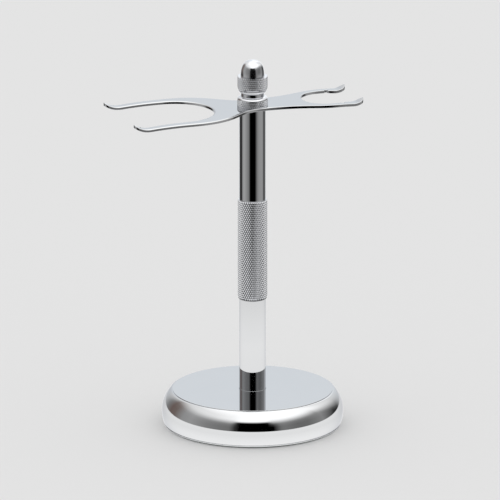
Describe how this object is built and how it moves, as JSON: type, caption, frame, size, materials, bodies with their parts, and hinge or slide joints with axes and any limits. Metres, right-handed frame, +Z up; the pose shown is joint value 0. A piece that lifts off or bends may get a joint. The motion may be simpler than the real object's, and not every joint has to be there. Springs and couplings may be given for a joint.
{
  "type": "razor stand",
  "caption": "Free-standing chromed stand that hangs a shaving brush in a wide fork and a safety razor in a narrow fork, on a knurled column with a weighted round base.",
  "frame": {"origin": "centre of the base's underside, on the surface the stand rests on", "axes": "+Z up along the column; +X along the fork plate towards the narrow razor fork, so the brush fork points to -X"},
  "size_m": [0.1128, 0.0824, 0.1711],
  "materials": {
    "polished_chrome": "mirror polished plating",
    "knurled_chrome": "diamond knurl, plated",
    "ballast_iron": "as cast, faced",
    "foam_rubber": "matt closed-cell pad",
    "zinc_steel": "zinc plated",
    "nylon": "natural"
  },
  "bodies": {
    "stand": {"base_shell": "polished_chrome", "base_weight": "ballast_iron", "base_pad": "foam_rubber", "base_screw": "zinc_steel", "base_washer": "zinc_steel", "base_lock_washer": "zinc_steel", "column_lower": "polished_chrome", "lower_stud": "zinc_steel", "grip_barrel": "knurled_chrome", "upper_stud": "zinc_steel", "column_upper": "polished_chrome", "top_stud": "zinc_steel", "swivel_washer": "nylon"},
    "fork": {"fork_plate": "polished_chrome"},
    "collar": {"clamp_collar": "knurled_chrome"},
    "cap": {"cap_nut": "knurled_chrome"}
  },
  "joints": [
    {"name": "fork_swivel", "type": "hinge", "parent": "stand", "child": "fork", "pos_m": [0, 0, 0.149], "axis": [0, 0, 1], "continuous": true},
    {"name": "collar_rise", "type": "slide", "parent": "stand", "child": "collar", "axis": [0, 0, 1], "range_m": [0, 0.005]},
    {"name": "cap_turn", "type": "hinge", "parent": "collar", "child": "cap", "pos_m": [0, 0, 0.1559], "axis": [0, 0, 1], "range_deg": [0, 1800]}
  ],
  "couplings": [
    {"joint": "collar_rise", "follows": "cap_turn", "m_per_rad": 0.00015915}
  ]
}
